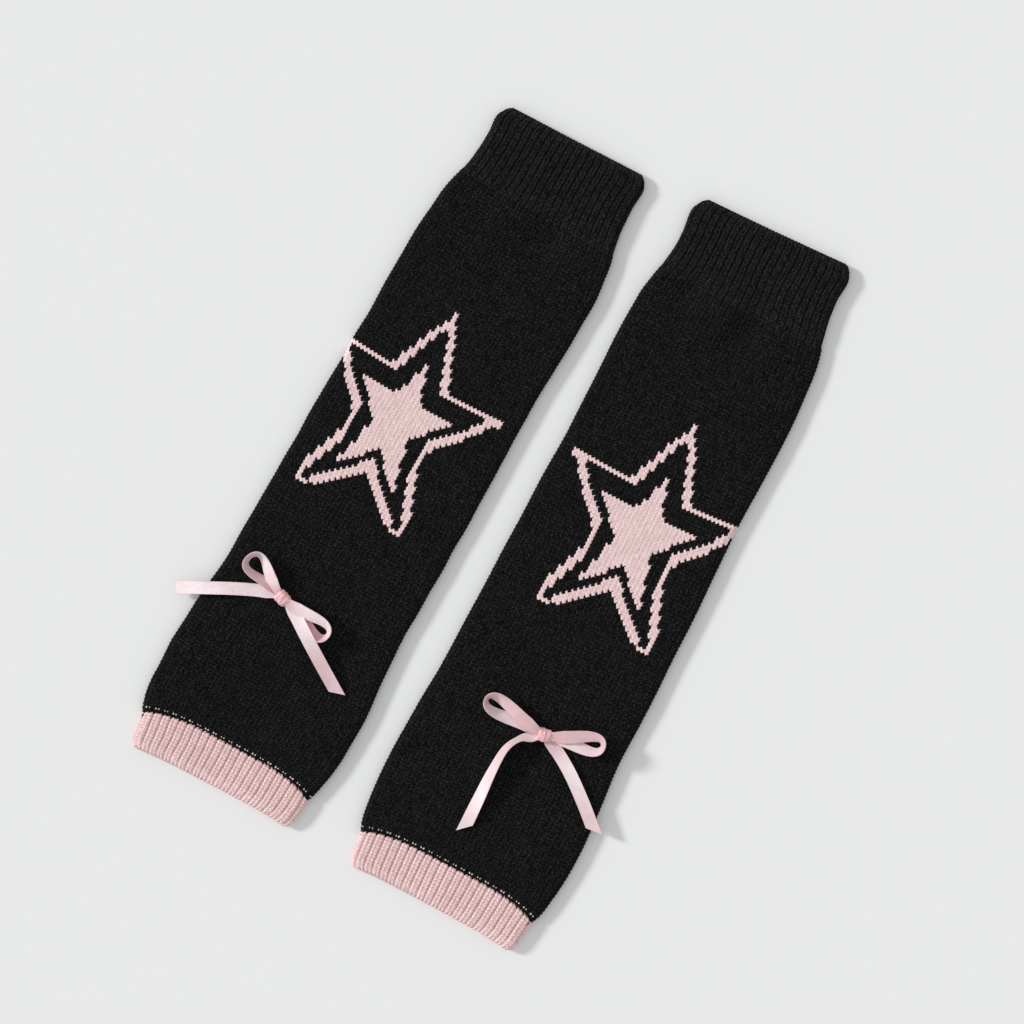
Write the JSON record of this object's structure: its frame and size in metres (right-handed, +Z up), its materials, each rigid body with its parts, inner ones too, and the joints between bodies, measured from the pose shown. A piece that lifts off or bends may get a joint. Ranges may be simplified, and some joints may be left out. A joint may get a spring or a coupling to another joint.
{
  "type": "pair of leg warmers",
  "caption": "Footless knitted tubes lying flat side by side, with ribbed cuffs and hems and tied ribbon bows, worn over the lower legs for warmth.",
  "frame": {"origin": "middle of the floor under the pair's box, on the surface that the pair lies on", "axes": "+Y along the tubes from the hems to the cuffs, +X across from the left leg warmer to the right one, +Z up out of the surface"},
  "size_m": [0.268, 0.4146, 0.0148],
  "materials": {
    "black_knit": "matte knitted yarn",
    "pink_knit": "matte knitted yarn",
    "pink_satin": "smooth satin weave"
  },
  "bodies": {
    "root": {"left_cuff": "black_knit", "left_body": "black_knit", "left_hem": "pink_knit", "left_bow_knot": "pink_satin", "left_bow_loop_a": "pink_satin", "left_bow_loop_b": "pink_satin", "left_bow_tail_a": "pink_satin", "left_bow_tail_b": "pink_satin", "right_cuff": "black_knit", "right_body": "black_knit", "right_hem": "pink_knit", "right_bow_knot": "pink_satin", "right_bow_loop_a": "pink_satin", "right_bow_loop_b": "pink_satin", "right_bow_tail_a": "pink_satin", "right_bow_tail_b": "pink_satin"}
  },
  "joints": []
}
